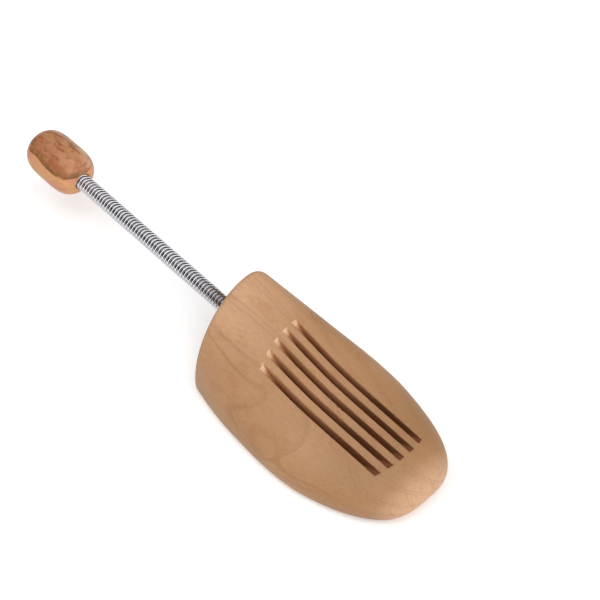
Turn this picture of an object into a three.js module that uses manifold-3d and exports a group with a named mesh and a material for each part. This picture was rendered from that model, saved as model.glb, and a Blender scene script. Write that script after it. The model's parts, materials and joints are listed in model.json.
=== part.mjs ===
// Sprung shoe tree for a right foot: a slotted wooden toe block and a turned heel knob joined by a
// close-wound steel coil, with a brad through each end of the coil.
//
// Millimetres. +X points to the toe, +Y to the inner (big toe) side of the foot and +Z up. The origin is
// on the flat sole of the toe block, so the block stands on the plane z = 0.

import * as THREE from 'three';
import { mergeVertices } from 'three/addons/utils/BufferGeometryUtils.js';
import Module from 'manifold-3d';

// ---------------------------------------------------------------------------------------------
// Driving dimensions
// ---------------------------------------------------------------------------------------------

// The origin lies this far in front of the lower edge of the block's rear face, halfway along the sole.
const ORIGIN_FROM_REAR = 59.5;

// Toe block. Half widths and crown heights are given at five stations, a quarter of the length apart,
// from the rear face to the toe. The block is widest at its waist line, which runs low along its sides.
const block = {
  length: 119,
  innerHalfWidths: [25.1, 31.3, 35.0, 33.3, 32.3],
  outerHalfWidths: [29.0, 35.4, 37.8, 35.9, 34.9],
  crownHeights: [44.6, 34.8, 26.1, 22.3, 19.6],
  ridgeRear: 0.47, // the arch's ridge lies this share of the half width towards the inner side
  ridgeToe: 0.135,
  toeSide: -0.2, // sideways place of the toe's foremost point
  waistRear: 5.2,
  waistToe: 6.3,
  toeLift: 2.8, // the sole rises this far towards the toe
  liftStart: 0.6, // fractions of the length, here and below
  sideRoundStart: 0.574,
  sideRoundPower: 1.8,
  sideRoundRoot: 2.84,
  crownRoundStart: 0.844,
  crownRoundPower: 2.23,
  tipRoundStart: 0.93,
  archPowerRear: 1.8, // superellipse power of the arched cross-section
  archPowerToe: 2.1,
  innerFullness: 1.05, // the inner side's power is larger by this at the rear face
  soleEdge: 5.0, // width of the rounding between side and sole
  rearEdge: 3.0, // rounding round the rear face
  rearSlant: -0.136, // rear face: forward lean per mm of height
  rearSkew: -0.023, // rear face: forward lean per mm towards the inner side
};

// Five saw cuts in the block's top, made together by five round blades on one arbor.
const slots = {
  count: 5,
  pitch: 6.24,
  kerf: 2.6,
  bladeRadius: 57,
  arborX: 70.7,
  arborZ: 68.2,
  middleY: -0.54,
};

// Coil spring. Each of its lengths is a plain sleeve with the outer size and weight of the wound wire.
// Its centre line crosses the plane x = 0 at (mouthY, mouthZ) and runs back from there to the knob.
const coil = {
  radius: 4.0,
  wall: 0.95,
  exit: -3.7, // where it leaves the block's leaning rear face
  freeLength: 110,
  inBlock: 24,
  inKnob: 19,
  hinges: 12,
  hingeGap: 1.0,
  mouthY: 0.4,
  mouthZ: 26.9,
  yawDeg: -1.92,
  pitchDeg: -1.51,
};

const knob = {
  radius: 11.9,
  length: 36.5,
  endPower: 4.33, // how square the barrel's ends are
};

const bore = {
  radius: 4.4,
  clearBeyondCoil: 1.0,
  sides: 24,
};

// Brads that cross the coil between two of its turns.
const pin = {
  radius: 0.9,
  headRadius: 1.7,
  headHeight: 0.7,
  tip: 2.5,
  gap: 0.3,
  fromBlockRear: 13,
  blockLength: 34,
  fromKnobFront: 11,
  knobLength: 15,
  headRecess: 0.6,
};

// Fineness of the faceted surfaces.
const ARCH_STEPS = 20;
const EDGE_STEPS = 3;
const SOLE_STEPS = 2;
const BODY_STATIONS = 12;
const TOE_STATIONS = 9;
const REAR_ROUND_STATIONS = 3;
const ROUND_SIDES = 16;
const KNOB_SIDES = 24;
const KNOB_STEPS = 16;
const BLADE_SIDES = 72;

// ---------------------------------------------------------------------------------------------
// Materials
// ---------------------------------------------------------------------------------------------

const blockWood = new THREE.MeshStandardMaterial({ color: '#c59a6e', roughness: 0.55, metalness: 0 });
const knobWood = new THREE.MeshStandardMaterial({ color: '#c98e5f', roughness: 0.45, metalness: 0 });
const springSteel = new THREE.MeshStandardMaterial({ color: '#c8cacd', roughness: 0.18, metalness: 1 });
const pinSteel = new THREE.MeshStandardMaterial({ color: '#a9abad', roughness: 0.4, metalness: 1 });

// ---------------------------------------------------------------------------------------------
// Solids
// ---------------------------------------------------------------------------------------------

const manifold = await Module();
manifold.setup();

function toSolid(geometry) {
  const bare = geometry.index ? geometry.toNonIndexed() : geometry.clone();
  bare.deleteAttribute('normal');
  bare.deleteAttribute('uv');
  const merged = mergeVertices(bare, 1e-5);
  const mesh = new manifold.Mesh({
    numProp: 3,
    vertProperties: Float32Array.from(merged.attributes.position.array),
    triVerts: Uint32Array.from(merged.index.array),
  });
  return new manifold.Manifold(mesh);
}

function toGeometry(solid) {
  const { vertProperties, triVerts, numProp } = solid.getMesh();
  const positions = [];
  for (let i = 0; i < vertProperties.length; i += numProp) {
    positions.push(vertProperties[i], vertProperties[i + 1], vertProperties[i + 2]);
  }
  const geometry = new THREE.BufferGeometry();
  geometry.setAttribute('position', new THREE.Float32BufferAttribute(positions, 3));
  geometry.setIndex(Array.from(triVerts));
  geometry.computeVertexNormals();
  return geometry;
}

function cut(geometry, cutters) {
  const solid = cutters.reduce((rest, cutter) => rest.subtract(toSolid(cutter)), toSolid(geometry));
  return toGeometry(solid);
}

// A cylinder along X from x0 to x1, on the X axis.
function rodAlongX(radius, x0, x1, sides = ROUND_SIDES) {
  const rod = new THREE.CylinderGeometry(radius, radius, x1 - x0, sides);
  rod.rotateZ(Math.PI / 2);
  rod.translate((x0 + x1) / 2, 0, 0);
  return rod;
}

// A cylinder along Z from z0 to z1, at (x, y).
function rodAlongZ(radius, z0, z1, x, y, sides = ROUND_SIDES) {
  const rod = new THREE.CylinderGeometry(radius, radius, z1 - z0, sides);
  rod.rotateX(Math.PI / 2);
  rod.translate(x, y, (z0 + z1) / 2);
  return rod;
}

// ---------------------------------------------------------------------------------------------
// Toe block
// ---------------------------------------------------------------------------------------------

const between = (start, end, t) => start + (end - start) * t;
const clamp01 = (t) => Math.min(Math.max(t, 0), 1);

// Falls from 1 at start to 0 at the toe, as the end of a superellipse.
const closing = (s, start, power, root = 2) => {
  return (1 - clamp01((s - start) / (1 - start)) ** power) ** (1 / root);
};

// Monotone curve through evenly spaced station values, for s from 0 to 1.
function throughStations(values, s) {
  const steps = values.length - 1;
  const rise = (i) => values[i + 1] - values[i];
  const slope = (i) => {
    if (i === 0) return endSlope(rise(0), rise(1));
    if (i === steps) return endSlope(rise(steps - 1), rise(steps - 2));
    const before = rise(i - 1);
    const after = rise(i);
    return before * after > 0 ? (2 * before * after) / (before + after) : 0;
  };
  const i = Math.min(Math.floor(s * steps), steps - 1);
  const t = s * steps - i;
  const keep = (1 + 2 * t) * (1 - t) ** 2;
  return keep * values[i] + (1 - keep) * values[i + 1]
    + t * (1 - t) ** 2 * slope(i) - t ** 2 * (1 - t) * slope(i + 1);
}

function endSlope(near, far) {
  const slope = 1.5 * near - 0.5 * far;
  if (slope * near <= 0) return 0;
  return near * far < 0 && Math.abs(slope) > 3 * Math.abs(near) ? 3 * near : slope;
}

// The block's cross-section at the fraction s of its length.
function sectionAt(s) {
  const sides = closing(s, block.sideRoundStart, block.sideRoundPower, block.sideRoundRoot);
  const inner = block.toeSide + (throughStations(block.innerHalfWidths, s) - block.toeSide) * sides;
  const outer = block.toeSide - (throughStations(block.outerHalfWidths, s) + block.toeSide) * sides;
  const sole = block.toeLift * clamp01((s - block.liftStart) / (1 - block.liftStart)) ** 2;
  const waist = between(block.waistRear, block.waistToe, s) + sole;
  const crownRise = throughStations(block.crownHeights, s) - waist;
  const crown = waist + crownRise * closing(s, block.crownRoundStart, block.crownRoundPower);
  const tip = closing(s, block.tipRoundStart, 2);
  return { middle: (inner + outer) / 2, halfWidth: (inner - outer) / 2, sole, waist, crown, tip };
}

// A point of the block's surface from its station and its place in the cross-section. The rear face
// leans and is skewed, and the lean fades out towards the toe.
function onBlock(s, y, z) {
  const lean = (block.rearSlant * z + block.rearSkew * y) * (1 - s);
  return new THREE.Vector3(s * block.length + lean, y, z);
}

// One ring of points round the block: over the arch, down the outer side, across the sole and up the
// inner side. shrink draws the ring in, for the rounding of the rear edge.
function ringAt(s, shrink) {
  const { middle, halfWidth, sole, waist, crown, tip } = sectionAt(s);
  const half = halfWidth - shrink;
  const edge = Math.min(block.soleEdge, half);
  const top = crown - shrink - waist;
  const outerPower = between(block.archPowerRear, block.archPowerToe, s);
  const innerPower = outerPower + block.innerFullness * (1 - s);
  const ridge = middle + half * between(block.ridgeRear, block.ridgeToe, s);
  const drop = (waist - sole - shrink) * tip;
  const ring = [];
  for (let i = 0; i < ARCH_STEPS; i += 1) {
    const angle = (i / ARCH_STEPS) * Math.PI;
    const inner = Math.cos(angle) > 0;
    const power = inner ? innerPower : outerPower;
    const reach = inner ? middle + half - ridge : ridge - middle + half;
    const across = Math.sign(Math.cos(angle)) * Math.abs(Math.cos(angle)) ** (2 / power);
    const up = Math.sin(angle) ** (2 / power);
    ring.push(onBlock(s, ridge + reach * across, waist + top * up));
  }
  for (let i = 0; i < EDGE_STEPS; i += 1) {
    const angle = (i / EDGE_STEPS) * (Math.PI / 2);
    const across = half - edge + edge * Math.cos(angle);
    ring.push(onBlock(s, middle - across, waist - drop * Math.sin(angle)));
  }
  for (let i = 0; i < SOLE_STEPS; i += 1) {
    const across = (half - edge) * ((2 * i) / SOLE_STEPS - 1);
    ring.push(onBlock(s, middle + across, waist - drop));
  }
  for (let i = EDGE_STEPS; i > 0; i -= 1) {
    const angle = (i / EDGE_STEPS) * (Math.PI / 2);
    const across = half - edge + edge * Math.cos(angle);
    ring.push(onBlock(s, middle + across, waist - drop * Math.sin(angle)));
  }
  return ring;
}

// The stations of the rings, with how far each is drawn in.
function blockStations() {
  const rearEnd = block.rearEdge / block.length;
  const stations = [];
  for (let i = 0; i <= REAR_ROUND_STATIONS; i += 1) {
    const angle = (i / REAR_ROUND_STATIONS) * (Math.PI / 2);
    stations.push({ s: rearEnd * (1 - Math.cos(angle)), shrink: block.rearEdge * (1 - Math.sin(angle)) });
  }
  const toeStart = block.sideRoundStart;
  for (let i = 1; i <= BODY_STATIONS; i += 1) {
    stations.push({ s: rearEnd + (toeStart - rearEnd) * (i / BODY_STATIONS), shrink: 0 });
  }
  for (let i = 1; i < TOE_STATIONS; i += 1) {
    const angle = (i / TOE_STATIONS) * (Math.PI / 2);
    stations.push({ s: toeStart + (1 - toeStart) * Math.sin(angle), shrink: 0 });
  }
  return stations;
}

// A closed surface over rings of equal length, fanned shut at both ends.
function skin(rings, firstPoint, lastPoint) {
  const points = [firstPoint, ...rings.flat(), lastPoint];
  const size = rings[0].length;
  const last = points.length - 1;
  const at = (ring, i) => 1 + ring * size + (i % size);
  const faces = [];
  for (let i = 0; i < size; i += 1) {
    faces.push(0, at(0, i + 1), at(0, i));
    faces.push(last, at(rings.length - 1, i), at(rings.length - 1, i + 1));
    for (let ring = 0; ring < rings.length - 1; ring += 1) {
      faces.push(at(ring, i), at(ring + 1, i + 1), at(ring + 1, i));
      faces.push(at(ring, i), at(ring, i + 1), at(ring + 1, i + 1));
    }
  }
  const geometry = new THREE.BufferGeometry().setFromPoints(points);
  geometry.setIndex(faces);
  return geometry;
}

function blockBlank() {
  const rings = blockStations().map(({ s, shrink }) => ringAt(s, shrink));
  const rear = sectionAt(0);
  const toe = sectionAt(1);
  const rearPoint = onBlock(0, rear.middle, (rear.sole + rear.crown) / 2);
  return skin(rings, rearPoint, onBlock(1, toe.middle, toe.waist));
}

function sawCuts() {
  return Array.from({ length: slots.count }, (_, i) => {
    const blade = new THREE.CylinderGeometry(slots.bladeRadius, slots.bladeRadius, slots.kerf, BLADE_SIDES);
    const y = slots.middleY + (i - (slots.count - 1) / 2) * slots.pitch;
    return blade.translate(slots.arborX, y, slots.arborZ);
  });
}

// ---------------------------------------------------------------------------------------------
// Coil line: everything on the coil's centre line is laid out along local X, with x = 0 at the block's
// rear face and the knob at negative x, and this matrix sets it in place.
// ---------------------------------------------------------------------------------------------

const coilTurn = new THREE.Euler(
  0,
  -THREE.MathUtils.degToRad(coil.pitchDeg),
  THREE.MathUtils.degToRad(coil.yawDeg),
  'ZYX',
);
const coilPlace = new THREE.Matrix4().makeRotationFromEuler(coilTurn);
coilPlace.setPosition(0, coil.mouthY, coil.mouthZ);

const knobFront = coil.exit - coil.freeLength;
const knobPinX = knobFront - pin.fromKnobFront;

// The block's pin is upright and crosses the coil's centre line at this point.
const blockPinAt = new THREE.Vector3(pin.fromBlockRear, 0, 0).applyMatrix4(coilPlace);

function blockPinHole(radius) {
  return rodAlongZ(radius, -1, pin.headRecess + pin.blockLength + pin.gap, blockPinAt.x, blockPinAt.y);
}

function headSink(x, y, z0, z1) {
  return rodAlongZ(pin.headRadius + pin.gap, z0, z1, x, y);
}

function toeBlockGeometry() {
  const deep = coil.inBlock + bore.clearBeyondCoil;
  const coilBore = rodAlongX(bore.radius, coil.exit - block.rearEdge, deep, bore.sides);
  coilBore.applyMatrix4(coilPlace);
  const sinkTop = pin.headRecess + pin.headHeight + pin.gap;
  return cut(blockBlank(), [
    ...sawCuts(),
    coilBore,
    blockPinHole(pin.radius + pin.gap),
    headSink(blockPinAt.x, blockPinAt.y, -1, sinkTop),
  ]);
}

// A barrel along X whose front end is at x = knobFront.
function knobBlank() {
  const profile = [];
  for (let i = 0; i <= KNOB_STEPS; i += 1) {
    const along = -Math.cos((i / KNOB_STEPS) * Math.PI);
    const radius = knob.radius * Math.sqrt(1 - Math.abs(along) ** knob.endPower);
    profile.push(new THREE.Vector2(radius, (along * knob.length) / 2));
  }
  const barrel = new THREE.LatheGeometry(profile, KNOB_SIDES);
  barrel.rotateZ(-Math.PI / 2);
  return barrel.translate(knobFront - knob.length / 2, 0, 0);
}

function heelKnobGeometry() {
  const deep = knobFront - coil.inKnob - bore.clearBeyondCoil;
  const sinkTop = -knob.radius + pin.headRecess + pin.headHeight + pin.gap;
  const holeTop = -knob.radius + pin.headRecess + pin.knobLength + pin.gap;
  return cut(knobBlank(), [
    rodAlongX(bore.radius, deep, knobFront + 1, bore.sides),
    rodAlongZ(pin.radius + pin.gap, -knob.radius - 1, holeTop, knobPinX, 0),
    headSink(knobPinX, 0, -knob.radius - 1, sinkTop),
  ]);
}

// A sleeve along X from x0 to x1.
function sleeve(x0, x1) {
  const inner = coil.radius - coil.wall;
  const profile = [
    new THREE.Vector2(inner, x0),
    new THREE.Vector2(coil.radius, x0),
    new THREE.Vector2(coil.radius, x1),
    new THREE.Vector2(inner, x1),
    new THREE.Vector2(inner, x0),
  ];
  return new THREE.LatheGeometry(profile, ROUND_SIDES).rotateZ(-Math.PI / 2);
}

// The hinges stand evenly along the free coil, with half a step at each end.
const hingeX = (i) => coil.exit - coil.freeLength * ((i + 0.5) / coil.hinges);

function coilFrontEnd() {
  const geometry = sleeve(hingeX(0) + coil.hingeGap / 2, coil.inBlock);
  const hole = blockPinHole(pin.radius + pin.gap).applyMatrix4(coilPlace.clone().invert());
  return cut(geometry, [hole]);
}

function coilRearEnd() {
  const geometry = sleeve(knobFront - coil.inKnob, hingeX(coil.hinges - 1) - coil.hingeGap / 2);
  return cut(geometry, [rodAlongZ(pin.radius + pin.gap, -knob.radius, knob.radius, knobPinX, 0)]);
}

// A brad standing on the origin with its head down and its point up.
function brad(length) {
  const profile = [
    new THREE.Vector2(0, 0),
    new THREE.Vector2(pin.headRadius, 0),
    new THREE.Vector2(pin.headRadius, pin.headHeight),
    new THREE.Vector2(pin.radius, pin.headHeight),
    new THREE.Vector2(pin.radius, length - pin.tip),
    new THREE.Vector2(0, length),
  ];
  return new THREE.LatheGeometry(profile, ROUND_SIDES).rotateX(Math.PI / 2);
}

// ---------------------------------------------------------------------------------------------
// Assembly
// ---------------------------------------------------------------------------------------------

function named(name, geometry, material) {
  const mesh = new THREE.Mesh(geometry, material);
  mesh.name = name;
  return mesh;
}

const shoeTree = new THREE.Group();
shoeTree.position.x = -ORIGIN_FROM_REAR;

shoeTree.add(named('toe_block', toeBlockGeometry(), blockWood));

const blockPin = named('block_pin', brad(pin.blockLength), pinSteel);
blockPin.position.set(blockPinAt.x, blockPinAt.y, pin.headRecess);
shoeTree.add(blockPin);

const coilLine = new THREE.Group();
coilLine.position.set(0, coil.mouthY, coil.mouthZ);
coilLine.rotation.copy(coilTurn);
shoeTree.add(coilLine);

coilLine.add(named('coil_front_end', coilFrontEnd(), springSteel));
for (let i = 1; i < coil.hinges; i += 1) {
  const link = sleeve(hingeX(i) + coil.hingeGap / 2, hingeX(i - 1) - coil.hingeGap / 2);
  coilLine.add(named(`coil_link_${String(i).padStart(2, '0')}`, link, springSteel));
}
coilLine.add(named('coil_rear_end', coilRearEnd(), springSteel));
coilLine.add(named('heel_knob', heelKnobGeometry(), knobWood));

const knobPin = named('knob_pin', brad(pin.knobLength), pinSteel);
knobPin.position.set(knobPinX, 0, -knob.radius + pin.headRecess);
coilLine.add(knobPin);

const group = new THREE.Group();
group.add(shoeTree);

export default group;
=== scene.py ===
# Sprung shoe tree for a right foot: a slotted wooden toe block and a turned heel knob joined by a
# close-wound coil of bright wire, with a brad through each end of the coil. This script builds the
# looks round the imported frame. Its sizes are in millimetres, and MM turns them into metres.

import json
import math

import bmesh
import bpy
import numpy as np
from mathutils import Matrix, Vector
from mathutils.bvhtree import BVHTree

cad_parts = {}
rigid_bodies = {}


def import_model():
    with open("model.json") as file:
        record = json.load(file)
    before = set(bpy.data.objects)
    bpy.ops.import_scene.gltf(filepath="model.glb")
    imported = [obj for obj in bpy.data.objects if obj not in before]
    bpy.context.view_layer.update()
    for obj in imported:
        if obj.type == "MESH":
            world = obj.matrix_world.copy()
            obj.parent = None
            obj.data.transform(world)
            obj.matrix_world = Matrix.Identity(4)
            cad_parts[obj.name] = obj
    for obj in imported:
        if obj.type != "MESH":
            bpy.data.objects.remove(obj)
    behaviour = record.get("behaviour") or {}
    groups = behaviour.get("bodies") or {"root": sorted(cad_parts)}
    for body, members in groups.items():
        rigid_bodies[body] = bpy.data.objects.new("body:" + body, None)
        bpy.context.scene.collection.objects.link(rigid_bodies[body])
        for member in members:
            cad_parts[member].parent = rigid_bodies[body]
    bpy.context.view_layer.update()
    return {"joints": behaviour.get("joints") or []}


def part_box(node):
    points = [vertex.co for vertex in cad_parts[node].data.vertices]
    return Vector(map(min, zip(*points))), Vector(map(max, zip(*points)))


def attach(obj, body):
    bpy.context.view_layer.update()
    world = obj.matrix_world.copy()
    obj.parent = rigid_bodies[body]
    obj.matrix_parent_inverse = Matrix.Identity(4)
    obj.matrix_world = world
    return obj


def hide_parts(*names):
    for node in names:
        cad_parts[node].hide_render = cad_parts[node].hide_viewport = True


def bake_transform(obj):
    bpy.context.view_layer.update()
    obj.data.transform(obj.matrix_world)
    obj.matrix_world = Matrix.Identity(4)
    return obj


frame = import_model()

MM = 0.001
TAU = 2 * math.pi

# ------------------------------------------------------------------------------------------------
# Driving dimensions, in millimetres
# ------------------------------------------------------------------------------------------------

# Toe block, as in the frame: half widths and crown heights at five even stations from the rear
# face to the toe, and how its arched section turns into the sides, the sole and the toe.
BLOCK_LENGTH = 119
INNER_HALF_WIDTHS = (25.1, 31.3, 35.0, 33.3, 32.3)
OUTER_HALF_WIDTHS = (29.0, 35.4, 37.8, 35.9, 34.9)
CROWN_HEIGHTS = (44.6, 34.8, 26.1, 22.3, 19.6)
RIDGE_REAR, RIDGE_TOE = 0.47, 0.135
TOE_SIDE = -0.2
WAIST_REAR, WAIST_TOE = 5.2, 6.3
TOE_LIFT, LIFT_START = 2.8, 0.6
SIDE_ROUND_START, SIDE_ROUND_POWER, SIDE_ROUND_ROOT = 0.574, 1.8, 2.84
CROWN_ROUND_START, CROWN_ROUND_POWER = 0.844, 2.23
TIP_ROUND_START, TIP_ROUND_POWER = 0.93, 2
ARCH_POWER_REAR, ARCH_POWER_TOE, INNER_FULLNESS = 1.8, 2.1, 1.05
SOLE_EDGE, REAR_EDGE = 5.0, 3.0
REAR_SLANT, REAR_SKEW = -0.136, -0.023
ORIGIN_FROM_REAR = 59.5

# Saw cuts in the top: one round blade for each, all on one arbor across the block.
SLOT_COUNT, SLOT_PITCH, SLOT_KERF = 5, 6.24, 2.6
SLOT_MIDDLE_Y = -0.54
BLADE_RADIUS, ARBOR_X, ARBOR_Z = 57, 70.7 - ORIGIN_FROM_REAR, 68.2

# Coil, and the bores that hold its ends.
COIL_RADIUS, WIRE_RADIUS, COIL_PITCH = 4.0, 0.8, 1.92
COIL_IN_BLOCK, COIL_IN_KNOB = 27.7, 19
BORE_RADIUS, BORE_BEYOND_COIL = 4.4, 1.0

KNOB_RADIUS, KNOB_LENGTH, KNOB_END_POWER = 11.9, 36.5, 4.33

# Brads.
PIN_RADIUS, PIN_HEAD_RADIUS, PIN_HEAD_HEIGHT, PIN_TIP = 0.9, 1.7, 0.7, 2.5
PIN_FIT = 0.08
HEAD_RECESS = 0.6
PIN_SIDES, BORE_SIDES = 40, 72
BLOCK_PIN_LENGTH, KNOB_PIN_LENGTH = 34, 15
KNOB_PIN_FROM_FRONT = 11

# ------------------------------------------------------------------------------------------------
# Coil line, from the frame's hinges: they stand evenly along the free coil, with half a step at
# each end, and the bodies between them run from the block to the knob.
# ------------------------------------------------------------------------------------------------

joints = frame["joints"]
hinges = [Vector(joint["pos_m"]) for joint in joints]
coil_bodies = [joints[0]["parent"]] + [joint["child"] for joint in joints]
hinge_step = (hinges[-1] - hinges[0]) / (len(hinges) - 1)
coil_exit = hinges[0] - hinge_step / 2
back = hinge_step.normalized()
side = Vector(joints[0]["axis"]).normalized()
link_length = hinge_step.length / MM
free_length = link_length * len(hinges)

# Things on the coil line are laid out along x, from 0 where the coil leaves the block to negative
# x at the knob, and this matrix sets them in place.
coil_axes = Matrix((-back, side, side.cross(back))).transposed()
coil_place = Matrix.Translation(coil_exit) @ coil_axes.to_4x4()

# ------------------------------------------------------------------------------------------------
# Meshes
# ------------------------------------------------------------------------------------------------


def mesh_object(name, points, faces, place=Matrix.Identity(4)):
    """A closed mesh object from points in millimetres, with its faces turned outwards."""
    mesh = bpy.data.meshes.new(name)
    mesh.from_pydata((np.asarray(points) * MM).tolist(), [], faces)
    mesh.transform(place)
    shape = bmesh.new()
    shape.from_mesh(mesh)
    if shape.calc_volume(signed=True) < 0:
        bmesh.ops.reverse_faces(shape, faces=shape.faces)
    shape.to_mesh(mesh)
    shape.free()
    obj = bpy.data.objects.new(name, mesh)
    bpy.context.scene.collection.objects.link(obj)
    return obj


def skin(rings, first, last):
    """Points and faces of a surface over rings of equal length, fanned shut at both ends."""
    rings = np.asarray(rings, float)
    count, size = rings.shape[:2]
    points = np.concatenate([[first], rings.reshape(-1, 3), [last]])
    here = np.arange(size)
    after = (here + 1) % size
    starts = 1 + size * np.arange(count - 1)[:, None]
    corners = [starts + here, starts + after, starts + size + after, starts + size + here]
    quads = np.stack(corners, -1)
    final = len(points) - 1
    rim = final - size
    fans = [(0, int(b) + 1, int(a) + 1) for a, b in zip(here, after)]
    fans += [(final, int(a) + rim, int(b) + rim) for a, b in zip(here, after)]
    return points, quads.reshape(-1, 4).tolist() + fans


def turned(name, profile, sides, place=Matrix.Identity(4), upright=False):
    """A solid of revolution about x, or about z if upright, from (distance along, radius) pairs."""
    circle = [(math.cos(a), math.sin(a)) for a in np.arange(sides) * TAU / sides]
    rings = [[(along, radius * c, radius * s) for c, s in circle] for along, radius in profile]
    points, faces = skin(rings, (profile[0][0], 0, 0), (profile[-1][0], 0, 0))
    if upright:
        points = points[:, [1, 2, 0]]
    return mesh_object(name, points, faces, place)


def cut(obj, cutters):
    """Cuts the cutters out of the object and deletes them."""
    for cutter in cutters:
        tool = obj.modifiers.new("cut", "BOOLEAN")
        tool.operation = "DIFFERENCE"
        tool.solver = "MANIFOLD"
        tool.object = cutter
    bpy.context.view_layer.update()
    shaped = obj.evaluated_get(bpy.context.evaluated_depsgraph_get())
    result = bpy.data.meshes.new_from_object(shaped)
    obj.modifiers.clear()
    obj.data = result
    for cutter in cutters:
        bpy.data.objects.remove(cutter)
    return obj


def smooth(obj, sharp_angle=32):
    """Smooth shading, with creases kept where the surface turns by more than the angle."""
    obj.data.shade_smooth()
    obj.data.set_sharp_from_angle(angle=math.radians(sharp_angle))
    return obj


# ------------------------------------------------------------------------------------------------
# Toe block
# ------------------------------------------------------------------------------------------------

ARCH_STEPS, EDGE_STEPS, SOLE_STEPS = 120, 8, 30
BODY_STATIONS, TOE_STATIONS, REAR_ROUND_STATIONS = 84, 70, 8


def between(start, end, t):
    """The value at the fraction t of the way from start to end."""
    return start + (end - start) * t


def closing(s, start, power, root=2):
    """Falls from 1 at start to 0 at the toe, as the end of a superellipse."""
    return (1 - min(max((s - start) / (1 - start), 0), 1) ** power) ** (1 / root)


def end_slope(near, far):
    """Slope at the end of a monotone curve, from the rise of its last two intervals."""
    slope = 1.5 * near - 0.5 * far
    if slope * near <= 0:
        return 0
    return 3 * near if near * far < 0 and abs(slope) > 3 * abs(near) else slope


def through_stations(values, s):
    """Monotone curve through evenly spaced values, for s from 0 to 1."""
    rises = [b - a for a, b in zip(values, values[1:])]
    slopes = [end_slope(rises[0], rises[1])]
    slopes += [2 * a * b / (a + b) if a * b > 0 else 0 for a, b in zip(rises, rises[1:])]
    slopes += [end_slope(rises[-1], rises[-2])]
    i = min(int(s * len(rises)), len(rises) - 1)
    t = s * len(rises) - i
    keep = (1 + 2 * t) * (1 - t) ** 2
    ends = keep * values[i] + (1 - keep) * values[i + 1]
    return ends + t * (1 - t) ** 2 * slopes[i] - t * t * (1 - t) * slopes[i + 1]


def on_block(s, y, z):
    """A point of the block from its station and its place in the section. The rear face leans."""
    lean = (REAR_SLANT * z + REAR_SKEW * y) * (1 - s)
    return (s * BLOCK_LENGTH - ORIGIN_FROM_REAR + lean, y, z)


def section_at(s):
    """The section's inner and outer sides, sole, waist and crown at a fraction s of the length."""
    sides = closing(s, SIDE_ROUND_START, SIDE_ROUND_POWER, SIDE_ROUND_ROOT)
    inner = TOE_SIDE + (through_stations(INNER_HALF_WIDTHS, s) - TOE_SIDE) * sides
    outer = TOE_SIDE - (through_stations(OUTER_HALF_WIDTHS, s) + TOE_SIDE) * sides
    sole = TOE_LIFT * max((s - LIFT_START) / (1 - LIFT_START), 0) ** 2
    waist = between(WAIST_REAR, WAIST_TOE, s) + sole
    rise = through_stations(CROWN_HEIGHTS, s) - waist
    crown = waist + rise * closing(s, CROWN_ROUND_START, CROWN_ROUND_POWER)
    return inner, outer, sole, waist, crown


def block_ring(s, shrink):
    """One ring round the block. shrink draws it in, for the rounding of the rear edge."""
    inner, outer, sole, waist, crown = section_at(s)
    middle = (inner + outer) / 2
    half = (inner - outer) / 2 - shrink
    edge = min(SOLE_EDGE, half)
    top = crown - shrink - waist
    drop = (waist - sole - shrink) * closing(s, TIP_ROUND_START, TIP_ROUND_POWER)
    outer_power = between(ARCH_POWER_REAR, ARCH_POWER_TOE, s)
    inner_power = outer_power + INNER_FULLNESS * (1 - s)
    ridge = middle + half * between(RIDGE_REAR, RIDGE_TOE, s)
    ring = []
    for i in range(ARCH_STEPS):
        angle = i / ARCH_STEPS * math.pi
        cosine = math.cos(angle)
        power = inner_power if cosine > 0 else outer_power
        reach = middle + half - ridge if cosine > 0 else ridge - middle + half
        across = math.copysign(abs(cosine) ** (2 / power), cosine)
        rise = math.sin(angle) ** (2 / power)
        ring.append(on_block(s, ridge + reach * across, waist + top * rise))
    quarter = [i / EDGE_STEPS * math.pi / 2 for i in range(EDGE_STEPS + 1)]
    under_edge = [(half - edge + edge * math.cos(a), waist - drop * math.sin(a)) for a in quarter]
    ring += [on_block(s, middle - across, z) for across, z in under_edge[:-1]]
    for i in range(SOLE_STEPS):
        ring.append(on_block(s, middle + (half - edge) * (2 * i / SOLE_STEPS - 1), waist - drop))
    ring += [on_block(s, middle + across, z) for across, z in reversed(under_edge[1:])]
    return ring


def block_blank():
    """Points and faces of the block before it is cut."""
    rear_end = REAR_EDGE / BLOCK_LENGTH
    rings = []
    for i in range(REAR_ROUND_STATIONS + 1):
        angle = i / REAR_ROUND_STATIONS * math.pi / 2
        shrink = REAR_EDGE * (1 - math.sin(angle))
        rings.append(block_ring(rear_end * (1 - math.cos(angle)), shrink))
    for i in range(1, BODY_STATIONS + 1):
        rings.append(block_ring(between(rear_end, SIDE_ROUND_START, i / BODY_STATIONS), 0))
    for i in range(1, TOE_STATIONS):
        turn = math.sin(i / TOE_STATIONS * math.pi / 2)
        rings.append(block_ring(between(SIDE_ROUND_START, 1, turn), 0))
    inner, outer, sole, _, crown = section_at(0)
    toe_waist = section_at(1)[3]
    rear_middle = on_block(0, (inner + outer) / 2, (sole + crown) / 2)
    return skin(rings, rear_middle, on_block(1, TOE_SIDE, toe_waist))


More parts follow.
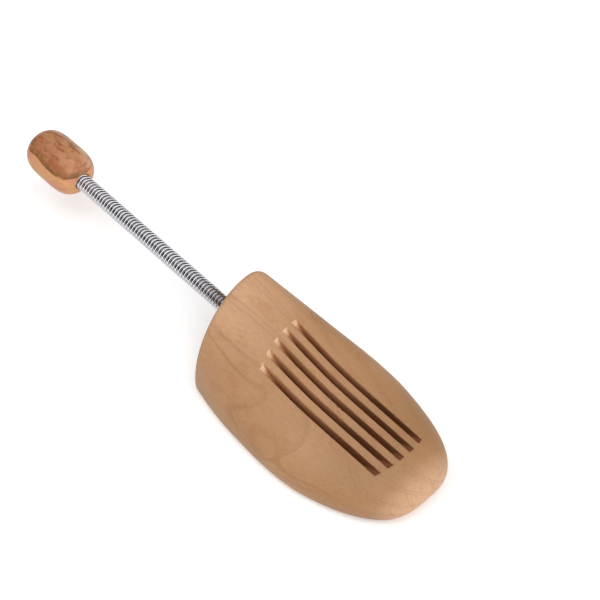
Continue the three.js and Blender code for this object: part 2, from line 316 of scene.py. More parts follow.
# A saw cut is a row of columns of points down both walls, at these depths under the surface. Its
# rim is rounded and torn, with shallow chips and fine fraying that fade downwards, it narrows at
# its rear tip, and its floor ripples. A wander is a count of steps for each new random value.
CUT_STEP, CUT_MARGIN = 0.35, 1.5
RIM_DEPTHS = (-3, -0.5, -0.1, 0.06, 0.16, 0.3, 0.5, 0.75, 1.1, 1.6, 2.4, 3.5, 5, 7, 9.5, 12, 15)
MIN_STEP = 0.002
RIM_ROUND, RIM_ROUND_DEPTH = 0.32, 0.6
TIP_NARROWING, TIP_DEPTH = 0.75, 1.0
CHIP_SIZE, CHIP_DEPTH, CHIP_WANDERS, CHIP_RARITY = 0.75, 0.9, (9, 4), 0.28
FRAY_SIZE, FRAY_DEPTH, FRAY_WANDER = 0.07, 0.35, 1.7
SAW_RIPPLE, RIPPLE_WANDER = 0.05, 2.3
SAW_SEED = 5
ABOVE_ALL, DOWN = 100, Vector((0, 0, -1))


def wandering(random, count, every):
    """A smooth random line of that many steps, from -1 to 1, with a new value every few steps."""
    knots = random.uniform(-1, 1, int(count / every) + 3)
    place = np.arange(count) / every + random.uniform(0, 1)
    i = place.astype(int)
    t = place - i
    t = t * t * (3 - 2 * t)
    return knots[i] * (1 - t) + knots[i + 1] * t


def top_at(surface, x, y):
    """The block's top over a place, as a point, or None beside the block."""
    return surface.ray_cast(Vector((x, y, ABOVE_ALL)), DOWN)[0]


def saw_cut(name, middle_y, surface, random):
    """The blade's path through the block, as a solid to cut away."""
    def floor_at(x):
        return ARBOR_Z - math.sqrt(BLADE_RADIUS**2 - (x - ARBOR_X) ** 2)

    front = min(ARBOR_X + BLADE_RADIUS, BLOCK_LENGTH - ORIGIN_FROM_REAR)
    stations = np.arange(max(ARBOR_X - BLADE_RADIUS, -ORIGIN_FROM_REAR), front, CUT_STEP)
    tops = [top_at(surface, x, middle_y) for x in stations]
    stations = [x for x, top in zip(stations, tops) if top and floor_at(x) < top.z + CUT_MARGIN]
    count = len(stations)
    walls = []
    for hand in (-1, 1):
        coarse, fine = [wandering(random, count, every) for every in CHIP_WANDERS]
        chips = np.maximum(coarse * fine - CHIP_RARITY, 0)
        fray = wandering(random, count, FRAY_WANDER)
        wall_y = middle_y + hand * SLOT_KERF / 2
        wall = []
        for x, chip, ragged in zip(stations, chips, fray):
            height = top_at(surface, x, wall_y).z
            narrowing = 0
            if x < ARBOR_X:
                narrowing = TIP_NARROWING * math.exp(-max(height - floor_at(x), 0) / TIP_DEPTH)
            column = []
            for j, depth in enumerate(RIM_DEPTHS):
                z = max(height - depth, floor_at(x) + MIN_STEP * (len(RIM_DEPTHS) - j))
                below = max(height - z, 0)
                tear = CHIP_SIZE * chip * math.exp(-below / CHIP_DEPTH)
                tear += FRAY_SIZE * ragged * math.exp(-below / FRAY_DEPTH)
                tear += RIM_ROUND * max(1 - below / RIM_ROUND_DEPTH, 0) ** 2 - narrowing
                column.append((x, wall_y + hand * tear, z))
            column.append((x, wall_y - hand * narrowing, floor_at(x)))
            wall.append(column)
        walls.append(wall)
    ripple = SAW_RIPPLE * wandering(random, count, RIPPLE_WANDER)
    for wall in walls:
        for column, lift in zip(wall, ripple):
            x, y, z = column[-1]
            column[-1] = (x, y, z - abs(lift))
    rings = [left + right[::-1] for left, right in zip(*walls)]
    return mesh_object(name, *skin(rings, np.mean(rings[0], 0), np.mean(rings[-1], 0)))


def bore_cutter(name, front, deep, flare=0):
    """A drilled hole along the coil line, from front to deep, with the drill's point at its end."""
    inwards = math.copysign(1, deep - front)
    point = deep + inwards * BORE_RADIUS / 2
    profile = [(front, BORE_RADIUS + flare), (front + inwards * flare, BORE_RADIUS)]
    profile += [(deep, BORE_RADIUS), (point, 0.02)]
    return turned(name, profile, BORE_SIDES, coil_place)


def brad_hole(name, length, place):
    """The hole that a brad fills, with the sunk place for its head."""
    wide, narrow = PIN_HEAD_RADIUS + PIN_FIT, PIN_RADIUS + PIN_FIT
    profile = [(-HEAD_RECESS - 2, wide), (PIN_HEAD_HEIGHT + PIN_FIT, wide)]
    profile += [(PIN_HEAD_HEIGHT + 2 * PIN_FIT, narrow)]
    profile += [(length - PIN_TIP, narrow), (length + PIN_FIT, 0.05)]
    return turned(name, profile, PIN_SIDES, place, upright=True)


pin_low, pin_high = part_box("block_pin")
block_pin_foot = ((pin_low.x + pin_high.x) / 2, (pin_low.y + pin_high.y) / 2, pin_low.z)
block_pin_place = Matrix.Translation(block_pin_foot)
knob_pin_x = -free_length - KNOB_PIN_FROM_FRONT
knob_pin_foot = Vector((knob_pin_x, 0, HEAD_RECESS - KNOB_RADIUS)) * MM
knob_pin_place = coil_place @ Matrix.Translation(knob_pin_foot)


def make_block():
    """The block with its cuts and holes, and how deep each of its points lies under its top."""
    points, faces = block_blank()
    blank = mesh_object("block_wood_body", points, faces)
    surface = BVHTree.FromPolygons(points.tolist(), faces)
    random = np.random.default_rng(SAW_SEED)
    places = [SLOT_MIDDLE_Y + (i - (SLOT_COUNT - 1) / 2) * SLOT_PITCH for i in range(SLOT_COUNT)]
    cutters = [saw_cut(f"saw_{i}", y, surface, random) for i, y in enumerate(places)]
    cutters.append(bore_cutter("bore", -8, COIL_IN_BLOCK + BORE_BEYOND_COIL))
    cutters.append(brad_hole("brad_hole", BLOCK_PIN_LENGTH, block_pin_place))
    block = smooth(cut(blank, cutters))
    depths = block.data.attributes.new("below_top", "FLOAT", "POINT")
    for vertex, depth in zip(block.data.vertices, depths.data):
        x, y, z = vertex.co / MM
        top = top_at(surface, x, y)
        depth.value = top.z - z if top else 0
    return block


# ------------------------------------------------------------------------------------------------
# Heel knob
# ------------------------------------------------------------------------------------------------

KNOB_SIDES, KNOB_STEPS = 128, 90
MOUTH_FLARE = 0.35


def make_knob():
    """The barrel with its bore, whose mouth is flared, and the brad's hole underneath."""
    profile = []
    for i in range(1, KNOB_STEPS):
        along = math.cos(i / KNOB_STEPS * math.pi)
        radius = KNOB_RADIUS * math.sqrt(1 - abs(along) ** KNOB_END_POWER)
        profile.append((-free_length - KNOB_LENGTH / 2 * (1 - along), radius))
    barrel = turned("knob_wood_body", profile, KNOB_SIDES, coil_place)
    deep = -free_length - COIL_IN_KNOB - BORE_BEYOND_COIL
    cutters = [bore_cutter("bore", -free_length + MOUTH_FLARE, deep, MOUTH_FLARE)]
    cutters.append(brad_hole("brad_hole", KNOB_PIN_LENGTH, knob_pin_place))
    return smooth(cut(barrel, cutters))


# ------------------------------------------------------------------------------------------------
# Coil: one long wire, made in lengths that each reach across one hinge. The wire parts from its
# neighbour turn where a brad crosses the coil.
# ------------------------------------------------------------------------------------------------

STEPS_PER_TURN, WIRE_SIDES, WIRE_SHARP_ANGLE = 44, 14, 50
BRAD_CLEARANCE = 1.8


def coil_keys():
    """The wire's turns, counted from its front end, and its distance behind the block's exit, where
    its pitch changes. Whole turns end on top of the coil, and half turns under it."""
    block_pin_x = -(coil_place.inverted() @ block_pin_place.translation).x / MM
    turns, distances = [0.0], [-COIL_IN_BLOCK]
    for pin in (block_pin_x, -knob_pin_x):
        run = (pin - BRAD_CLEARANCE - distances[-1]) / COIL_PITCH
        whole = math.floor(turns[-1] + run + 0.5)
        turns += [whole, whole + 0.5]
        distances += [pin - BRAD_CLEARANCE, pin + BRAD_CLEARANCE]
    end = free_length + COIL_IN_KNOB
    turns.append(turns[-1] + (end - distances[-1]) / COIL_PITCH)
    distances.append(end)
    return turns, distances


def coil_length(name, start, end, keys):
    """The wire from one distance behind the exit to another, both along the coil line."""
    turns, distances = keys
    first, last = np.interp([start, end], distances, turns)
    steps = np.linspace(first, last, int((last - first) * STEPS_PER_TURN) + 2)
    along = -np.interp(steps, turns, distances)
    angle = steps * TAU + math.pi / 2
    mean_radius = COIL_RADIUS - WIRE_RADIUS
    outwards = np.stack([np.zeros_like(angle), np.cos(angle), np.sin(angle)], -1)
    middle = mean_radius * outwards
    middle[:, 0] = along
    direction = np.gradient(middle, axis=0)
    direction /= np.linalg.norm(direction, axis=1)[:, None]
    across = np.cross(direction, outwards)
    turn = np.arange(WIRE_SIDES) * TAU / WIRE_SIDES
    spokes = outwards[:, None] * np.cos(turn)[:, None] + across[:, None] * np.sin(turn)[:, None]
    rings = middle[:, None] + WIRE_RADIUS * spokes
    wire = mesh_object(name, *skin(rings, middle[0], middle[-1]), coil_place)
    return smooth(wire, WIRE_SHARP_ANGLE)


def make_coil():
    """The lengths of the coil, front to back, each running from one body to the next."""
    keys = coil_keys()
    ends = [link_length * i for i in range(1, len(hinges))]
    ends = [-COIL_IN_BLOCK] + ends + [free_length + COIL_IN_KNOB]
    lengths = []
    for i in range(len(hinges)):
        length = coil_length(f"coil_wire_{i + 1:02d}", ends[i], ends[i + 1], keys)
        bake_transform(length)
        lengths.append(length)
    return lengths


# ------------------------------------------------------------------------------------------------
# Brads
# ------------------------------------------------------------------------------------------------


def make_brad(name, length, place):
    """A brad with its head down: a slightly domed head, grip rings under it and a drawn point."""
    head = PIN_HEAD_RADIUS
    profile = [(0.04, 0.02), (0.04, head * 0.45), (0, head * 0.6)]
    profile += [(0.03, head * 0.85), (0.14, head * 0.97)]
    profile += [(PIN_HEAD_HEIGHT * 0.5, head), (PIN_HEAD_HEIGHT - 0.12, head * 0.97)]
    profile += [(PIN_HEAD_HEIGHT, head * 0.88), (PIN_HEAD_HEIGHT + 0.1, PIN_RADIUS)]
    for i in range(4):
        ring = PIN_HEAD_HEIGHT + 0.6 + 0.5 * i
        profile += [(ring, PIN_RADIUS), (ring + 0.12, PIN_RADIUS + 0.05), (ring + 0.24, PIN_RADIUS)]
    profile += [(length - PIN_TIP, PIN_RADIUS), (length - PIN_TIP * 0.8, PIN_RADIUS * 0.93)]
    profile += [(length - 0.1, 0.08), (length, 0.02)]
    return smooth(turned(name, profile, PIN_SIDES, place, upright=True))


# ------------------------------------------------------------------------------------------------
# Materials
# ------------------------------------------------------------------------------------------------


def srgb(red, green, blue):
    """A colour given as 0 to 255 display values, for a shader's socket."""
    return tuple(((c / 255 + 0.055) / 1.055) ** 2.4 for c in (red, green, blue)) + (1,)


class Shader:
    """A material or a world, and short ways to add nodes to it."""

    def __init__(self, owner, surface="Principled BSDF"):
        owner.use_nodes = True
        self.owner, self.tree = owner, owner.node_tree
        self.surface = self.tree.nodes[surface]

    def node(self, kind, inputs, **settings):
        made = self.tree.nodes.new(kind)
        for name, value in settings.items():
            setattr(made, name, value)
        for key, value in inputs.items():
            self.feed(made.inputs[key], value)
        return made

    def feed(self, socket, value):
        """Links a node's output to the socket, or sets the socket to a plain value."""
        if isinstance(value, bpy.types.NodeSocket):
            self.tree.links.new(value, socket)
        else:
            socket.default_value = value

    def set(self, **inputs):
        """Feeds the surface's own sockets, by name, with _ for a space."""
        for name, value in inputs.items():
            self.feed(self.surface.inputs[name.replace("_", " ")], value)

    def maths(self, operation, a, b=0.0):
        return self.node("ShaderNodeMath", {0: a, 1: b}, operation=operation).outputs[0]

    def add(self, a, b):
        return self.maths("ADD", a, b)

    def times(self, first, *others):
        for other in others:
            first = self.maths("MULTIPLY", first, other)
        return first

    def vector(self, operation, a, b=(0, 0, 0), result="Vector"):
        made = self.node("ShaderNodeVectorMath", {0: a, 1: b}, operation=operation)
        return made.outputs[result]

    def split(self, vector):
        return self.node("ShaderNodeSeparateXYZ", {0: vector}).outputs

    def grey(self, value):
        return self.node("ShaderNodeCombineColor", {0: value, 1: value, 2: value}).outputs[0]

    def noise(self, place, scale, detail=2.0, roughness=0.5, distortion=0.0):
        """Soft noise about 0.5, with so many features in a millimetre along each axis."""
        inputs = {"Vector": self.vector("MULTIPLY", place, scale), "Scale": 1.0}
        inputs.update({"Detail": detail, "Roughness": roughness, "Distortion": distortion})
        return self.node("ShaderNodeTexNoise", inputs).outputs["Fac"]

    def span(self, value, low, high, to_low=0.0, to_high=1.0):
        """Eases from one value to another while the input goes from low to high."""
        inputs = {"Value": value, "From Min": low, "From Max": high}
        inputs.update({"To Min": to_low, "To Max": to_high})
        return self.node("ShaderNodeMapRange", inputs, interpolation_type="SMOOTHSTEP").outputs[0]

    def mix(self, share, a, b, blend_type="MIX"):
        made = self.node("ShaderNodeMix", {0: share}, data_type="RGBA", blend_type=blend_type)
        self.feed(made.inputs[6], a)
        self.feed(made.inputs[7], b)
        return made.outputs[2]

    def own_place(self):
        """Where the point is in the piece's own space, in metres."""
        return self.tree.nodes.new("ShaderNodeTexCoord").outputs["Object"]

    def place_mm(self):
        """Where the point is in the piece's own space, in millimetres."""
        inputs = {0: self.own_place(), "Scale": 1 / MM}
        return self.node("ShaderNodeVectorMath", inputs, operation="SCALE").outputs[0]


# What both woods share.
PORE_SHARE, FLECK_SHARE, FLECK_COLOUR = 0.3, 0.45, srgb(236, 212, 186)
WOOD_SPECULAR = 0.4
FIGURE_STRENGTH, FIGURE_RELIEF = 0.25, 0.05
FIBRE_RISE, PORE_DROP = 0.5, 0.8


def figured(shader, place, colour, pore_colour, roughness):
    """Fine fibres, short pores and tiny pale flecks along x, over the given colour."""
    fibre = shader.noise(place, (0.10, 1.9, 1.9), 3.0, 0.6)
    pores = shader.span(shader.noise(place, (0.9, 6.5, 6.5), 1.0), 0.66, 0.76)
    fleck = shader.span(shader.noise(place, (2.6, 3.4, 3.4), 1.0), 0.74, 0.8)
    cloud = shader.noise(place, (0.5, 0.9, 0.9), 3.0, 0.65)
    fibre_shade = shader.span(fibre, 0.3, 0.7, 0.955, 1.04)
    cloud_shade = shader.span(cloud, 0.3, 0.7, 0.95, 1.05)
    shade = shader.grey(shader.times(fibre_shade, cloud_shade))
    colour = shader.mix(1.0, colour, shade, "MULTIPLY")
    colour = shader.mix(shader.times(pores, PORE_SHARE), colour, pore_colour)
    colour = shader.mix(shader.times(fleck, FLECK_SHARE), colour, FLECK_COLOUR)
    worn = shader.span(cloud, 0.3, 0.7, roughness - 0.05, roughness + 0.06)
    relief = shader.times(fibre, FIBRE_RISE)
    relief = shader.maths("SUBTRACT", relief, shader.times(pores, PORE_DROP))
    inputs = {"Height": relief, "Strength": FIGURE_STRENGTH, "Distance": FIGURE_RELIEF * MM}
    bump = shader.node("ShaderNodeBump", inputs).outputs[0]
    shader.set(Base_Color=colour, Roughness=worn, Specular_IOR_Level=WOOD_SPECULAR, Normal=bump)
    return shader.owner


# The block's growth rings run round a gently curved pith line low in the wood: its place (y, z) at
# the rear face, how it slopes and how it bends along x. Each ring ends in a dark line and has a
# second line at the fraction FALSE_RING of its width. A swelling and a dent in the rings, each
# with where along the block it comes and goes, close two of them in loops on the outer flank.
PITH_REAR = (-0.07, 4.93)
PITH_SLOPE = (-0.22, -0.22)
PITH_BEND = (0.000555, -0.000195)
RING_WIDTH, RING_WANDER = 3.994, 0.3
FALSE_RING = 0.787
LINE_SHARE, BAND_SHARE, RINGS_SHARE = 0.7, 0.2, 0.62
SWELL, SWELL_COMES, SWELL_GOES = 0.42, (35, 43), (61, 53)
DENT, DENT_COMES, DENT_GOES = -0.3, (2, 14), (36, 26)
DENT_Y, DENT_REACH = -26.5, (6.5, 1)


def growth_rings(shader, place, along, y):
    """How dark the growth rings make each point, from 0 to 1."""
    along_squared = shader.times(along, along)
    slope = shader.node("ShaderNodeCombineXYZ", {1: along, 2: along}).outputs[0]
    slope = shader.vector("MULTIPLY", slope, (0, *PITH_SLOPE))
    bend = shader.node("ShaderNodeCombineXYZ", {1: along_squared, 2: along_squared}).outputs[0]
    bend = shader.vector("MULTIPLY", bend, (0, *PITH_BEND))
    pith = shader.vector("ADD", shader.vector("ADD", slope, bend), (0, *PITH_REAR))
    across = shader.vector("MULTIPLY", shader.vector("SUBTRACT", place, pith), (0, 1, 1))
    radius = shader.vector("LENGTH", across, result="Value")

    wander = shader.noise(place, (0.02, 0.05, 0.05), 2.0)
    wander = shader.times(shader.maths("SUBTRACT", wander, 0.5), RING_WANDER)
    swell = shader.times(shader.span(along, *SWELL_COMES), shader.span(along, *SWELL_GOES))
    wander = shader.add(wander, shader.times(swell, SWELL))
    off_dent = shader.maths("ABSOLUTE", shader.maths("SUBTRACT", y, DENT_Y))
    dent = shader.times(shader.span(along, *DENT_COMES), shader.span(along, *DENT_GOES))
    dent = shader.times(dent, shader.span(off_dent, *DENT_REACH))
    wander = shader.add(wander, shader.times(dent, DENT))

    count = shader.maths("DIVIDE", shader.add(radius, wander), RING_WIDTH)
    part = shader.maths("FRACT", count)
    line = shader.times(shader.span(part, 0.88, 0.98), shader.span(part, 1.0, 0.985))
    false_line = shader.times(shader.span(part, FALSE_RING - 0.05, FALSE_RING),
                              shader.span(part, FALSE_RING + 0.02, FALSE_RING))
    band = shader.times(shader.span(part, 0.3, 0.95, 0, BAND_SHARE), shader.span(part, 1.0, 0.96))
    late = shader.maths("MAXIMUM", shader.times(line, LINE_SHARE), false_line)
    late = shader.maths("MAXIMUM", late, band)

    inputs = {"W": shader.maths("FLOOR", count)}
    chance = shader.node("ShaderNodeTexWhiteNoise", inputs, noise_dimensions="1D")
    strength = shader.span(chance.outputs["Value"], 0, 1, 0.35, 0.9)
    fading = shader.span(shader.noise(place, (0.03, 0.09, 0.09), 2.0), 0.36, 0.6, 0.6, 1)
    return shader.times(late, strength, fading, RINGS_SHARE)


# Distances from the saw's kerf and from its rim over which a cut's walls and floor are coloured.
KERF_FADE = (0.12, 0.02)
WALL_FADE = (0.3, 0.8)
FLOOR_FADE_IN, FLOOR_FADE_OUT = (0.35, 0.15), (-0.3, -0.1)


def saw_marks(shader, place):
    """Which points are on a saw cut's walls, which on its floor, and how deep they lie."""
    x, y, z = shader.split(place)
    across = shader.add(y, SLOT_COUNT / 2 * SLOT_PITCH - SLOT_MIDDLE_Y)
    across = shader.maths("DIVIDE", across, SLOT_PITCH)
    off_middle = shader.maths("SUBTRACT", shader.maths("FRACT", across), 0.5)
    off_middle = shader.maths("ABSOLUTE", off_middle)
    kerf_edge = [(SLOT_KERF / 2 + fade) / SLOT_PITCH for fade in KERF_FADE]
    past_first = shader.span(across, 0, 0.01)
    before_last = shader.span(across, SLOT_COUNT, SLOT_COUNT - 0.01)
    in_kerf = shader.times(shader.span(off_middle, *kerf_edge), past_first, before_last)
    reach_x = shader.maths("SUBTRACT", x, ARBOR_X)
    reach_z = shader.maths("SUBTRACT", z, ARBOR_Z)
    squared = shader.add(shader.times(reach_x, reach_x), shader.times(reach_z, reach_z))
    inside = shader.maths("SUBTRACT", BLADE_RADIUS, shader.maths("SQRT", squared))
    wall = shader.times(in_kerf, shader.span(inside, *WALL_FADE))
    floor = shader.times(in_kerf, shader.span(inside, *FLOOR_FADE_IN),
                         shader.span(inside, *FLOOR_FADE_OUT))
    depth = shader.node("ShaderNodeAttribute", {}, attribute_name="below_top").outputs["Fac"]
    return wall, floor, depth


# The warm colour serves both random warm patches and painted light on the rear top.
BLOCK_COLOUR, BLOCK_WARM_AND_LIT, BLOCK_STAIN = srgb(171, 129, 91), srgb(192, 149, 114), srgb(166, 119, 80)
# Painted shade towards the front of the block and a painted highlight at the toe.
FORE_SHADE_COLOUR, TOE_HIGHLIGHT_COLOUR = srgb(162, 121, 84), srgb(200, 158, 124)
RING_COLOUR, BLOCK_PORE = srgb(138, 95, 60), srgb(140, 98, 64)
# Cut colours: painted light on the shallow rear of each cut, painted shade at its fore end and deep
# inside.
CUT_REAR_LIT, CUT_FORE_SHADE, CUT_DEEP_SHADE = srgb(184, 131, 92), srgb(120, 74, 47), srgb(146, 92, 60)
# Pale torn fibre, together with painted light on the shallow rear of each cut's floor.
TORN_AND_LIT_COLOUR, TORN_AND_LIT_SHARE = srgb(224, 190, 155), 0.75
BLOCK_ROUGHNESS = 0.46
# Where a change of colour starts and ends: from the rear face, from the middle, or below the top.
REAR_LIGHT_ALONG, REAR_LIGHT_ACROSS = (40, -5), (-28, -6)
FORE_SHADE_COMES, FORE_SHADE_GOES, TOE_HIGHLIGHT_ALONG = (55, 95), (118, 108), (106, 120)
CUT_LIT_TO_SHADE_ALONG, CUT_SHADE_DOWN = (50, 85), (0.2, 7.5)
TORN_AND_LIT_ALONG, TORN_AND_LIT_DOWN = (75, 45), (2.6, 0.9)


def block_wood_look():
    """Pale close-grained wood with faint growth rings and broad warmer patches, painted light and
    shade, and saw cuts darkened by painted shade.
    """
    shader = Shader(bpy.data.materials.new("block_wood"))
    place = shader.place_mm()
    x, y, _ = shader.split(place)
    along = shader.add(x, ORIGIN_FROM_REAR)

    patch = shader.noise(place, (0.018, 0.045, 0.045), 3.0, 0.55)
    # Painted light: the rear top is lightened, more towards one side, with the warm colour.
    rear_top_light = shader.span(along, *REAR_LIGHT_ALONG)
    rear_top_light = shader.times(rear_top_light, shader.span(y, *REAR_LIGHT_ACROSS, 0.2, 0.9))
    warm_and_lit = shader.maths("MAXIMUM", shader.span(patch, 0.45, 0.7, 0, 0.45), rear_top_light)
    colour = shader.mix(warm_and_lit, BLOCK_COLOUR, BLOCK_WARM_AND_LIT)
    # Painted shade darkens the front, and a painted highlight pales the toe.
    fore_shade = shader.times(shader.span(along, *FORE_SHADE_COMES), shader.span(along, *FORE_SHADE_GOES))
    colour = shader.mix(fore_shade, colour, FORE_SHADE_COLOUR)
    colour = shader.mix(shader.span(along, *TOE_HIGHLIGHT_ALONG, 0, 0.75), colour, TOE_HIGHLIGHT_COLOUR)
    stain = shader.noise(place, (0.07, 0.12, 0.12), 3.0, 0.6)
    colour = shader.mix(shader.span(stain, 0.5, 0.66, 0, 0.5), colour, BLOCK_STAIN)
    colour = shader.mix(growth_rings(shader, place, along, y), colour, RING_COLOUR)

    wall, floor, depth = saw_marks(shader, place)
    # Painted light and shade in the cuts: lit shallow rear ends, shaded fore ends, painted shade
    # deeper down.
    shallow_light_and_shade = shader.mix(shader.span(along, *CUT_LIT_TO_SHADE_ALONG), CUT_REAR_LIT, CUT_FORE_SHADE)
    cut_light_and_shade = shader.mix(shader.span(depth, *CUT_SHADE_DOWN), shallow_light_and_shade, CUT_DEEP_SHADE)
    colour = shader.mix(shader.maths("MAXIMUM", wall, floor), colour, cut_light_and_shade)
    # Pale torn fibre mixed with painted light near the top of each cut's rear floor, fading with
    # depth.
    torn_and_lit = shader.noise(place, (0.7, 1.3, 1.3), 3.0, 0.7)
    torn_and_lit = shader.times(shader.span(torn_and_lit, 0.3, 0.55, 0.25, 1), shader.span(depth, *TORN_AND_LIT_DOWN))
    torn_and_lit = shader.times(torn_and_lit, floor, shader.span(along, *TORN_AND_LIT_ALONG), TORN_AND_LIT_SHARE)
    colour = shader.mix(torn_and_lit, colour, TORN_AND_LIT_COLOUR)
    return figured(shader, place, colour, BLOCK_PORE, BLOCK_ROUGHNESS)


# The knob's darker heart shows above a plane, at a height over the knob's middle, that drops
# towards the front by some degrees and has a ragged edge.
HEART_HEIGHT, HEART_DROP, HEART_RAGGED = 5.5, 4, 3.5
SAP_COLOURS = srgb(199, 143, 92), srgb(194, 128, 98)
HEART_OUTER, HEART_MIDDLE, HEART_HIGHLIGHT = srgb(158, 96, 60), srgb(178, 124, 88), srgb(206, 162, 130)
HEART_PALE, HEART_DARK = srgb(184, 134, 92), srgb(150, 80, 48)
HEART_OLIVE, HEART_SPECK, HEART_EDGE = srgb(146, 106, 64), srgb(124, 62, 36), srgb(112, 78, 36)
KNOB_PORE, KNOB_ROUGHNESS = srgb(130, 80, 48), 0.36


def knob_wood_look():
    """Salmon sapwood under a mottled brown heart with a dark edge, paled by a painted highlight on
    its inner side.
    """
    shader = Shader(bpy.data.materials.new("knob_wood"))
    place = shader.place_mm()
    knob_middle = coil_place @ (Vector((-free_length - KNOB_LENGTH / 2, 0, 0)) * MM) / MM
    from_middle = shader.vector("SUBTRACT", place, tuple(knob_middle))

    def reach(axis):
        return shader.vector("DOT_PRODUCT", from_middle, tuple(axis), result="Value")

    drop = Matrix.Rotation(math.radians(HEART_DROP), 3, "Y")
    up = coil_place.to_3x3() @ drop @ Vector((0, 0, 1))
    inwards = reach(side)
    ragged = shader.noise(place, (0.12, 0.16, 0.16), 3.0, 0.55)
    ragged = shader.times(shader.maths("SUBTRACT", ragged, 0.5), HEART_RAGGED)
    depth = shader.add(shader.maths("SUBTRACT", reach(up), HEART_HEIGHT), ragged)

    inside = shader.span(depth, -0.2, 0.35)
    edge_break = shader.noise(place, (0.18, 0.26, 0.26), 4.0, 0.65)
    edge = shader.times(inside, shader.span(depth, 4.2, 0.2),
                        shader.span(edge_break, 0.4, 0.58, 0.15, 1),
                        shader.span(inwards, 9, -2, 0.3, 1))

    sap_patch = shader.noise(place, (0.08, 0.2, 0.2), 3.0, 0.55)
    sap = shader.mix(shader.span(sap_patch, 0.44, 0.58), *SAP_COLOURS)
    heart = shader.mix(shader.span(inwards, -10, 1), HEART_OUTER, HEART_MIDDLE)
    # Painted highlight: the heart pales towards its inner side.
    heart = shader.mix(shader.span(inwards, 1, 9), heart, HEART_HIGHLIGHT)
    marble = shader.noise(place, (0.14, 0.24, 0.24), 5.0, 0.65, distortion=0.3)
    heart = shader.mix(shader.span(marble, 0.51, 0.6, 0, 0.5), heart, HEART_PALE)
    heart = shader.mix(shader.span(marble, 0.49, 0.4, 0, 0.65), heart, HEART_DARK)
    olive = shader.noise(place, (0.16, 0.38, 0.38), 4.0, 0.65)
    heart = shader.mix(shader.span(olive, 0.5, 0.62, 0, 0.6), heart, HEART_OLIVE)
    speck = shader.noise(place, (0.4, 0.6, 0.6), 3.0, 0.65)
    heart = shader.mix(shader.span(speck, 0.56, 0.7, 0, 0.7), heart, HEART_SPECK)
    colour = shader.mix(inside, sap, heart)
    colour = shader.mix(edge, colour, HEART_EDGE)
    return figured(shader, place, colour, KNOB_PORE, KNOB_ROUGHNESS)


STEEL_MARKS = srgb(238, 237, 240)


def steel(name, colour, roughness, scratch):
    """Bright metal with faint marks, which are rougher by scratch."""
    shader = Shader(bpy.data.materials.new(name))
    marks = shader.noise(shader.place_mm(), (1.5, 1.5, 1.5), 4.0, 0.6)
    worn = shader.span(marks, 0.3, 0.7, roughness, roughness + scratch)
    shader.set(Base_Color=shader.mix(marks, colour, STEEL_MARKS), Metallic=1.0, Roughness=worn)
    return shader.owner


block_wood = block_wood_look()
knob_wood = knob_wood_look()
spring_steel = steel("spring_steel", srgb(220, 218, 224), 0.07, 0.03)
pin_steel = steel("pin_steel", srgb(190, 192, 196), 0.32, 0.1)

# ------------------------------------------------------------------------------------------------
# Pieces, with the block, the knob and the brads on their bodies
# ------------------------------------------------------------------------------------------------


def finished(obj, material, slot, *nodes):
    """Gives the object its material and hides the frame's pieces that it replaces. The slot is not
    used.
    """
    obj.data.materials.clear()
    obj.data.materials.append(material)
    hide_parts(*nodes)
    return obj


block_body, knob_body = coil_bodies[0], coil_bodies[-1]
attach(finished(make_block(), block_wood, "block_wood", "toe_block"), block_body)
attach(finished(make_knob(), knob_wood, "knob_wood", "heel_knob"), knob_body)
block_brad = make_brad("block_brad", BLOCK_PIN_LENGTH, block_pin_place)
knob_brad = make_brad("knob_brad", KNOB_PIN_LENGTH, knob_pin_place)
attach(finished(block_brad, pin_steel, "pin_steel", "block_pin"), block_body)
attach(finished(knob_brad, pin_steel, "pin_steel", "knob_pin"), knob_body)
coil_nodes = ["coil_front_end"] + [f"coil_link_{i:02d}" for i in range(1, len(hinges))]
for length, node in zip(make_coil(), coil_nodes):
    finished(length, spring_steel, "spring_steel", node)
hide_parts("coil_rear_end")

# ------------------------------------------------------------------------------------------------
# Stage: pale floor, soft light and the camera
# ------------------------------------------------------------------------------------------------

# The floor glows faintly under the object and turns white towards the backdrop. Sizes of the
# stage and of its lights are in metres.
FLOOR_HALF, FLOOR_DROP = 2.5, 0.00005
FLOOR_COLOUR, FLOOR_ROUGHNESS, FLOOR_SPECULAR = (0.93, 0.93, 0.93, 1), 0.9, 0.1
FLOOR_GLOW, FLOOR_GLOW_REACH = (0.2, 1.0), (0.3, 1.2)
BACKDROP_RADIUS, BACKDROP_HEIGHT, BACKDROP_SIDES = 2.4, 2.5, 96
BLACK, WHITE = (0, 0, 0, 1), (1, 1, 1, 1)
VIEW_TARGET = Vector((-49.28, 29.36, 24.1)) * MM
VIEW_AZIMUTH, VIEW_ELEVATION = -44.85, 49.73
VIEW_DISTANCE = 771.9 * MM
VIEW_ANGLE = 20.34
CLIP_NEAR, CLIP_FAR = 0.01, 50
LIGHT_TARGET, LIGHT_DISTANCE, LIGHT_SIZE = Vector((-0.06, 0, 0.02)), 1.6, 1.5
# The metal mirrors a bright window past an x and below a height, a pale ceiling above a height and
# a grey sweep in place of the floor, each with an edge that eases in between two values.
WINDOW_SIDE, WINDOW_TOP = (0.42, 0.56), (0.84, 0.64)
CEILING_EDGE, SWEEP_EDGE = (0.74, 0.86), (0.02, -0.1)
WALL_GLOW, CEILING_GLOW, SWEEP_GLOW = 0.012, 0.42, 0.5
STUDIO_STRENGTH = 1.5


def direction(azimuth, elevation):
    """Unit vector towards an azimuth from +x and an elevation, in degrees."""
    a, e = math.radians(azimuth), math.radians(elevation)
    return Vector((math.cos(a) * math.cos(e), math.sin(a) * math.cos(e), math.sin(e)))


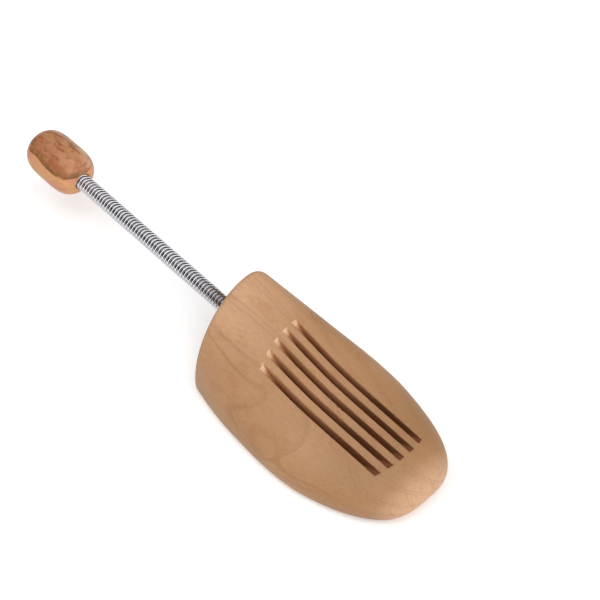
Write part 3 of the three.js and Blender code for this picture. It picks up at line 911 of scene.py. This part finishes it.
def stage_object(name, points, faces, material):
    """A part of the stage, from points in metres."""
    mesh = bpy.data.meshes.new(name)
    mesh.from_pydata(points, [], faces)
    mesh.materials.append(material)
    obj = bpy.data.objects.new(name, mesh)
    bpy.context.scene.collection.objects.link(obj)
    return obj


def make_floor():
    """A pale paper floor, which the metal doesn't mirror."""
    shader = Shader(bpy.data.materials.new("floor_paper"))
    radius = shader.vector("LENGTH", shader.own_place(), result="Value")
    shader.set(Base_Color=FLOOR_COLOUR, Roughness=FLOOR_ROUGHNESS,
               Specular_IOR_Level=FLOOR_SPECULAR, Emission_Color=WHITE,
               Emission_Strength=shader.span(radius, *FLOOR_GLOW_REACH, *FLOOR_GLOW))
    signs = (-1, -1), (1, -1), (1, 1), (-1, 1)
    corners = [(x * FLOOR_HALF, y * FLOOR_HALF, -FLOOR_DROP) for x, y in signs]
    floor = stage_object("floor", corners, [(0, 1, 2, 3)], shader.owner)
    floor.visible_glossy = False


def make_backdrop():
    """A round white wall round the floor that only the camera sees."""
    shader = Shader(bpy.data.materials.new("backdrop_white"))
    shader.set(Base_Color=BLACK, Specular_IOR_Level=0, Emission_Color=WHITE, Emission_Strength=1)
    points, faces = [], []
    for i in range(BACKDROP_SIDES):
        foot = direction(360 * i / BACKDROP_SIDES, 0) * BACKDROP_RADIUS
        points += [foot, foot + Vector((0, 0, BACKDROP_HEIGHT))]
        after = 2 * ((i + 1) % BACKDROP_SIDES)
        faces.append((2 * i, after, after + 1, 2 * i + 1))
    backdrop = stage_object("backdrop", points, faces, shader.owner)
    backdrop.visible_diffuse = backdrop.visible_glossy = backdrop.visible_shadow = False


def make_light(name, azimuth, elevation, power):
    """A square soft box that faces the object. It has no mirror image in the bright metal."""
    data = bpy.data.lights.new(name, "AREA")
    data.shape = "SQUARE"
    data.size = LIGHT_SIZE
    data.energy = power
    lamp = bpy.data.objects.new(name, data)
    towards = direction(azimuth, elevation)
    lamp.location = LIGHT_TARGET + towards * LIGHT_DISTANCE
    lamp.rotation_euler = towards.to_track_quat("Z", "Y").to_euler()
    lamp.visible_glossy = False
    bpy.context.scene.collection.objects.link(lamp)


def make_world():
    """A dark studio with a pale ceiling, a grey sweep and a bright window beyond the toe."""
    studio = Shader(bpy.data.worlds.new("studio"), "Background")
    towards = studio.tree.nodes.new("ShaderNodeTexCoord").outputs["Generated"]
    x, _, z = studio.split(towards)
    window = studio.times(studio.span(x, *WINDOW_SIDE), studio.span(z, *WINDOW_TOP))
    ceiling = studio.span(z, *CEILING_EDGE, WALL_GLOW, CEILING_GLOW)
    sweep = studio.span(z, *SWEEP_EDGE, 0, SWEEP_GLOW)
    glow = studio.maths("MAXIMUM", window, studio.maths("MAXIMUM", ceiling, sweep))
    studio.set(Color=studio.grey(glow), Strength=STUDIO_STRENGTH)
    bpy.context.scene.world = studio.owner


def make_camera():
    """The camera at the photograph's angle."""
    data = bpy.data.cameras.new("camera")
    data.lens_unit = "FOV"
    data.angle = math.radians(VIEW_ANGLE)
    data.clip_start, data.clip_end = CLIP_NEAR, CLIP_FAR
    camera = bpy.data.objects.new("camera", data)
    towards = direction(VIEW_AZIMUTH, VIEW_ELEVATION)
    camera.location = VIEW_TARGET + towards * VIEW_DISTANCE
    camera.rotation_euler = towards.to_track_quat("Z", "Y").to_euler()
    bpy.context.scene.collection.objects.link(camera)
    bpy.context.scene.camera = camera


make_floor()
make_backdrop()
make_world()
make_light("key", azimuth=-10, elevation=66, power=12)
make_light("fill", azimuth=-130, elevation=50, power=13)
make_camera()
bpy.context.scene.view_settings.view_transform = "Standard"
